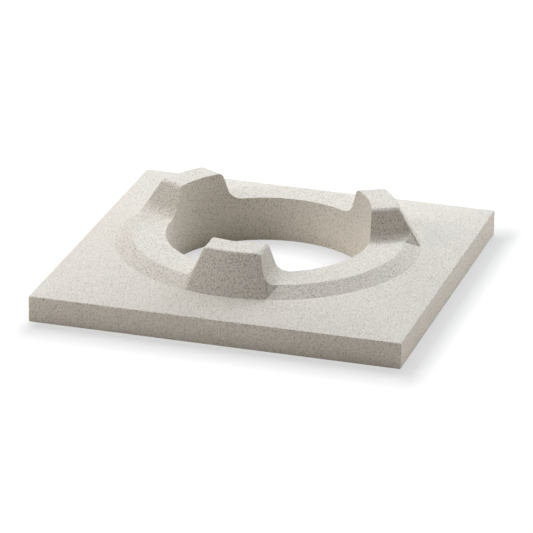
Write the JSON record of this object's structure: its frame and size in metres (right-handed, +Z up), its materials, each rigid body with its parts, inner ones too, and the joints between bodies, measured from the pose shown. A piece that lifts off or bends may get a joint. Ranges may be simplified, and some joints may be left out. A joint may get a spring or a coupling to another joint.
{
  "type": "chimney cowl base",
  "caption": "Square cast concrete plate that rises to a round collar with a through bore, ringed by short tapered posts that carry the next part of a chimney cowl above open smoke gaps.",
  "frame": {"origin": "on the underside, on the axis of the bore, at the centre of the square plate", "axes": "+Z up along the bore; the front edge of the plate faces -Y, with one post over it; +X to the right seen from the front"},
  "size_m": [0.55, 0.55, 0.111],
  "materials": {
    "concrete": "matt, fine-grained pale grey-beige lightweight concrete as it comes out of the mould"
  },
  "bodies": {
    "root": {"cowl_base": "concrete"}
  },
  "joints": []
}
